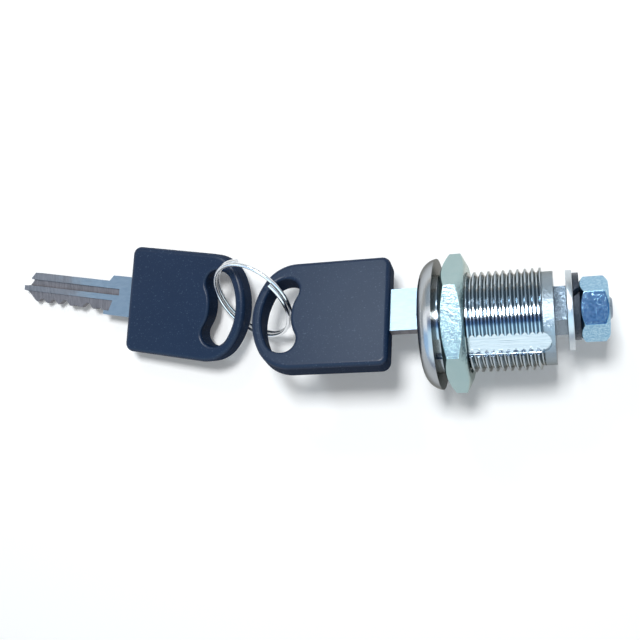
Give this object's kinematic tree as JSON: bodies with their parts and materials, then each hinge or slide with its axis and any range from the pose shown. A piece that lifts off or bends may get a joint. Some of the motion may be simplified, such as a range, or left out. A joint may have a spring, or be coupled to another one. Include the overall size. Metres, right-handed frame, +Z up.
{
  "type": "cabinet cam lock",
  "caption": "Cylindrical cabinet cam lock with a domed flange, threaded barrel and hexagonal nut, a key in its plug and a spare key on a split ring.",
  "frame": {"origin": "barrel axis at the flange's rear face, where the lock seats on its panel", "axes": "+X along the barrel toward the threaded tail, +Y across, +Z up from the surface it lies on"},
  "size_m": [0.124, 0.0327, 0.024],
  "materials": {
    "zinc_casting": "satin zinc-plated casting",
    "zinc_nut": "bright zinc plate",
    "plug_metal": "sand-cast zinc, grainy",
    "wafer_brass": "stamped brass",
    "spring_steel": "drawn wire",
    "zinc_washer": "zinc plate",
    "black_steel": "blackened spring steel",
    "blue_zinc": "blue zinc plate",
    "key_steel": "nickel-plated key blade",
    "key_plastic": "fine-grained moulded plastic",
    "ring_steel": "bright nickel-plated wire"
  },
  "bodies": {
    "housing": {"housing": "zinc_casting"},
    "mounting_nut": {"mounting_nut": "zinc_nut"},
    "plug": {"plug": "plug_metal", "wafer_spring_1": "spring_steel", "wafer_spring_2": "spring_steel", "wafer_spring_3": "spring_steel", "wafer_spring_4": "spring_steel", "wafer_spring_5": "spring_steel", "wafer_spring_6": "spring_steel", "retainer": "wafer_brass", "retainer_spring": "spring_steel", "flat_washer": "zinc_washer", "spring_washer": "black_steel", "tail_nut": "blue_zinc"},
    "wafers": {"wafer_1": "wafer_brass", "wafer_2": "wafer_brass", "wafer_3": "wafer_brass", "wafer_4": "wafer_brass", "wafer_5": "wafer_brass", "wafer_6": "wafer_brass"},
    "key_1": {"key_1_blade": "key_steel", "key_1_head": "key_plastic"},
    "ring": {"key_ring": "ring_steel"},
    "key_2": {"key_2_blade": "key_steel", "key_2_head": "key_plastic"}
  },
  "joints": [
    {"name": "mounting_nut_travel", "type": "slide", "parent": "housing", "child": "mounting_nut", "axis": [1, 0, 0], "range_m": [-0.0008, 0.0128]},
    {"name": "plug_turn", "type": "hinge", "parent": "housing", "child": "plug", "pos_m": [0, 0.00118, 0], "axis": [1, 0, 0], "range_deg": [0, 90]},
    {"name": "key_slide", "type": "slide", "parent": "plug", "child": "key_1", "axis": [-1, 0, 0], "range_m": [0, 0.03]},
    {"name": "wafer_rise", "type": "slide", "parent": "plug", "child": "wafers", "axis": [0, 0.9205, -0.3907], "range_m": [0, 0.00056]},
    {"name": "ring_swing", "type": "hinge", "parent": "key_1", "child": "ring", "pos_m": [-0.02944, 0.00486, -0.00134], "axis": [0, 0.7288, 0.6847], "range_deg": [-25, 25]},
    {"name": "key_2_swing", "type": "hinge", "parent": "ring", "child": "key_2", "pos_m": [-0.03766, 0.00708, -0.00371], "axis": [-0.367, -0.637, 0.678], "range_deg": [-30, 20]}
  ],
  "couplings": [
    {"joint": "wafer_rise", "follows": "key_slide", "ratio": 0.01866}
  ]
}
